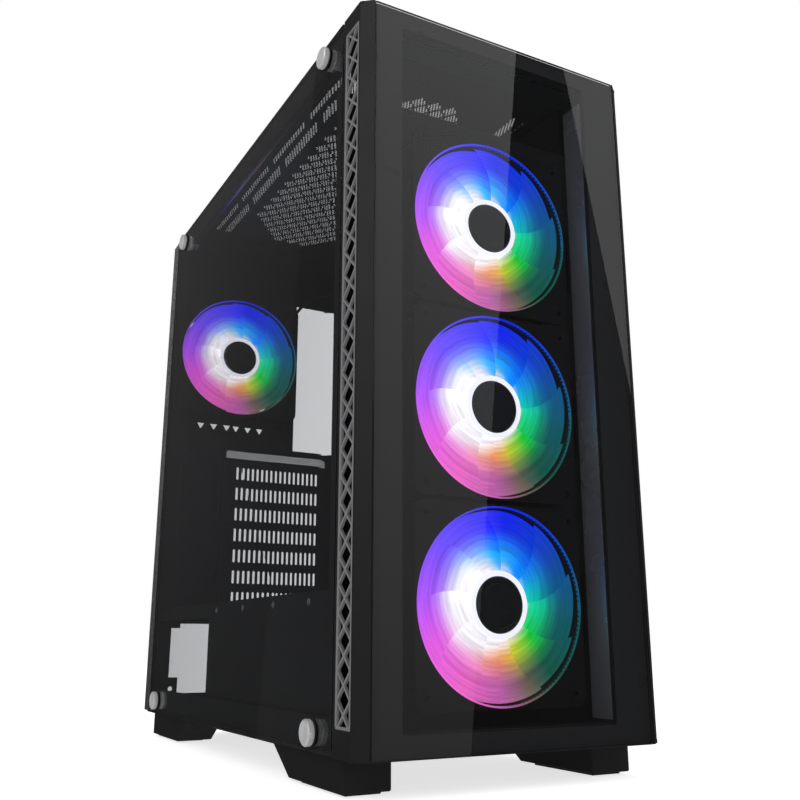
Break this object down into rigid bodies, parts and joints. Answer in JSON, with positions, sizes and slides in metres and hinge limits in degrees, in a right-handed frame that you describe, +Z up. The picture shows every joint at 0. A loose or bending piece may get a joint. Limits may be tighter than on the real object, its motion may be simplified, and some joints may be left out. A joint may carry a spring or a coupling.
{
  "type": "desktop computer tower",
  "caption": "Empty mid-tower computer case with a glass front, glass left side, lit fans, rear slot covers and a shrouded power supply bay.",
  "frame": {"origin": "centre of the bounding box's bottom face, on the ground between the feet", "axes": "+Z up, -Y out of the glass front, -X out of the glass left side"},
  "size_m": [0.215, 0.442, 0.479],
  "materials": {
    "steel_black": "satin powder coat",
    "zinc_steel": "zinc plated",
    "brass": "satin",
    "rubber_black": "matte",
    "plastic_black": "fine grain",
    "plastic_grey": "fine grain",
    "plastic_gloss": "gloss",
    "glass_tinted": "clear, smoke tint",
    "foam_tape": "matte",
    "screw_black": "black zinc",
    "screw_nickel": "nickel plated",
    "motor_metal": "satin",
    "cable_black": "satin",
    "rotor_lit": "translucent, lit from the hub",
    "circuit_board": "black solder mask",
    "filter_mesh": "fine woven mesh in a magnetic frame"
  },
  "bodies": {
    "chassis": {"floor_pan": "steel_black", "rear_wall": "steel_black", "roof_panel": "steel_black", "motherboard_tray": "steel_black", "front_fan_wall": "steel_black", "psu_shroud": "steel_black", "glass_standoffs": "zinc_steel", "chassis_rivets": "zinc_steel", "board_standoffs": "brass", "psu_pads": "rubber_black", "feet": "plastic_black", "foot_pads": "rubber_black", "slot_cover_1": "steel_black", "slot_cover_2": "steel_black", "slot_cover_3": "steel_black", "slot_cover_4": "steel_black", "slot_cover_5": "steel_black", "slot_cover_6": "steel_black", "slot_cover_7": "steel_black", "slot_screws": "screw_black", "slot_shield": "steel_black", "drive_cage": "zinc_steel", "drive_caddy_1": "plastic_black", "drive_caddy_2": "plastic_black", "ssd_brackets": "steel_black", "fan_screws": "screw_black", "fan_1_frame": "plastic_black", "fan_2_frame": "plastic_black", "fan_3_frame": "plastic_black", "rear_fan_frame": "plastic_black", "fan_motors": "motor_metal", "fan_hub": "plastic_black", "fan_leads": "cable_black"},
    "fan_1_spinner": {"fan_1_rotor": "rotor_lit"},
    "fan_2_spinner": {"fan_2_rotor": "rotor_lit"},
    "fan_3_spinner": {"fan_3_rotor": "rotor_lit"},
    "rear_fan_spinner": {"rear_fan_rotor": "rotor_lit"},
    "fascia": {"front_fascia": "plastic_black", "vent_lattice_left": "plastic_grey", "vent_lattice_right": "plastic_grey", "front_glass": "glass_tinted", "front_glass_tape": "foam_tape", "fascia_clips": "plastic_black", "io_bezel": "plastic_gloss", "usb_ports": "zinc_steel", "audio_jacks": "plastic_gloss", "io_board": "circuit_board"},
    "power_key": {"power_button": "plastic_gloss"},
    "reset_key": {"reset_button": "plastic_gloss"},
    "side_glass": {"left_glass": "glass_tinted", "glass_grommets": "rubber_black"},
    "glass_screw_front_top_turn": {"glass_screw_front_top": "screw_nickel"},
    "glass_screw_front_bottom_turn": {"glass_screw_front_bottom": "screw_nickel"},
    "glass_screw_rear_top_turn": {"glass_screw_rear_top": "screw_nickel"},
    "glass_screw_rear_bottom_turn": {"glass_screw_rear_bottom": "screw_nickel"},
    "steel_side": {"right_panel": "steel_black"},
    "panel_screw_top_turn": {"panel_screw_top": "screw_black"},
    "panel_screw_bottom_turn": {"panel_screw_bottom": "screw_black"},
    "roof_dust_filter": {"roof_filter": "filter_mesh"},
    "psu_dust_filter": {"psu_filter": "plastic_black"}
  },
  "joints": [
    {"name": "fan_1_spin", "type": "hinge", "parent": "chassis", "child": "fan_1_spinner", "pos_m": [0.0025, -0.1915, 0.348], "axis": [0, 1, 0], "continuous": true},
    {"name": "fan_2_spin", "type": "hinge", "parent": "chassis", "child": "fan_2_spinner", "pos_m": [0.0025, -0.1915, 0.225], "axis": [0, 1, 0], "continuous": true},
    {"name": "fan_3_spin", "type": "hinge", "parent": "chassis", "child": "fan_3_spinner", "pos_m": [0.0025, -0.1915, 0.102], "axis": [0, 1, 0], "continuous": true},
    {"name": "rear_fan_spin", "type": "hinge", "parent": "chassis", "child": "rear_fan_spinner", "pos_m": [-0.0355, 0.193, 0.357], "axis": [0, 1, 0], "continuous": true},
    {"name": "fascia_pull", "type": "slide", "parent": "chassis", "child": "fascia", "axis": [0, -1, 0], "range_m": [0, 0.08]},
    {"name": "power_press", "type": "slide", "parent": "fascia", "child": "power_key", "axis": [0, 0, -1], "range_m": [0, 0.0012], "stiffness_N_per_m": 300, "springref_m": -0.003},
    {"name": "reset_press", "type": "slide", "parent": "fascia", "child": "reset_key", "axis": [0, 0, -1], "range_m": [0, 0.0012], "stiffness_N_per_m": 300, "springref_m": -0.003},
    {"name": "side_glass_pull", "type": "slide", "parent": "chassis", "child": "side_glass", "axis": [-1, 0, 0], "range_m": [0, 0.15]},
    {"name": "glass_screw_front_top_turn", "type": "hinge", "parent": "side_glass", "child": "glass_screw_front_top_turn", "pos_m": [-0.1025, -0.163, 0.465], "axis": [1, 0, 0], "continuous": true},
    {"name": "glass_screw_front_bottom_turn", "type": "hinge", "parent": "side_glass", "child": "glass_screw_front_bottom_turn", "pos_m": [-0.1025, -0.163, 0.031], "axis": [1, 0, 0], "continuous": true},
    {"name": "glass_screw_rear_top_turn", "type": "hinge", "parent": "side_glass", "child": "glass_screw_rear_top_turn", "pos_m": [-0.1025, 0.178, 0.465], "axis": [1, 0, 0], "continuous": true},
    {"name": "glass_screw_rear_bottom_turn", "type": "hinge", "parent": "side_glass", "child": "glass_screw_rear_bottom_turn", "pos_m": [-0.1025, 0.178, 0.031], "axis": [1, 0, 0], "continuous": true},
    {"name": "steel_side_slide", "type": "slide", "parent": "chassis", "child": "steel_side", "axis": [0, 1, 0], "range_m": [0, 0.02]},
    {"name": "panel_screw_top_turn", "type": "hinge", "parent": "steel_side", "child": "panel_screw_top_turn", "pos_m": [0.1005, 0.21, 0.43], "axis": [0, 1, 0], "continuous": true},
    {"name": "panel_screw_bottom_turn", "type": "hinge", "parent": "steel_side", "child": "panel_screw_bottom_turn", "pos_m": [0.1005, 0.21, 0.066], "axis": [0, 1, 0], "continuous": true},
    {"name": "roof_filter_lift", "type": "slide", "parent": "chassis", "child": "roof_dust_filter", "axis": [0, 0, 1], "range_m": [0, 0.1]},
    {"name": "psu_filter_slide", "type": "slide", "parent": "chassis", "child": "psu_dust_filter", "axis": [0, 1, 0], "range_m": [0, 0.17]}
  ]
}
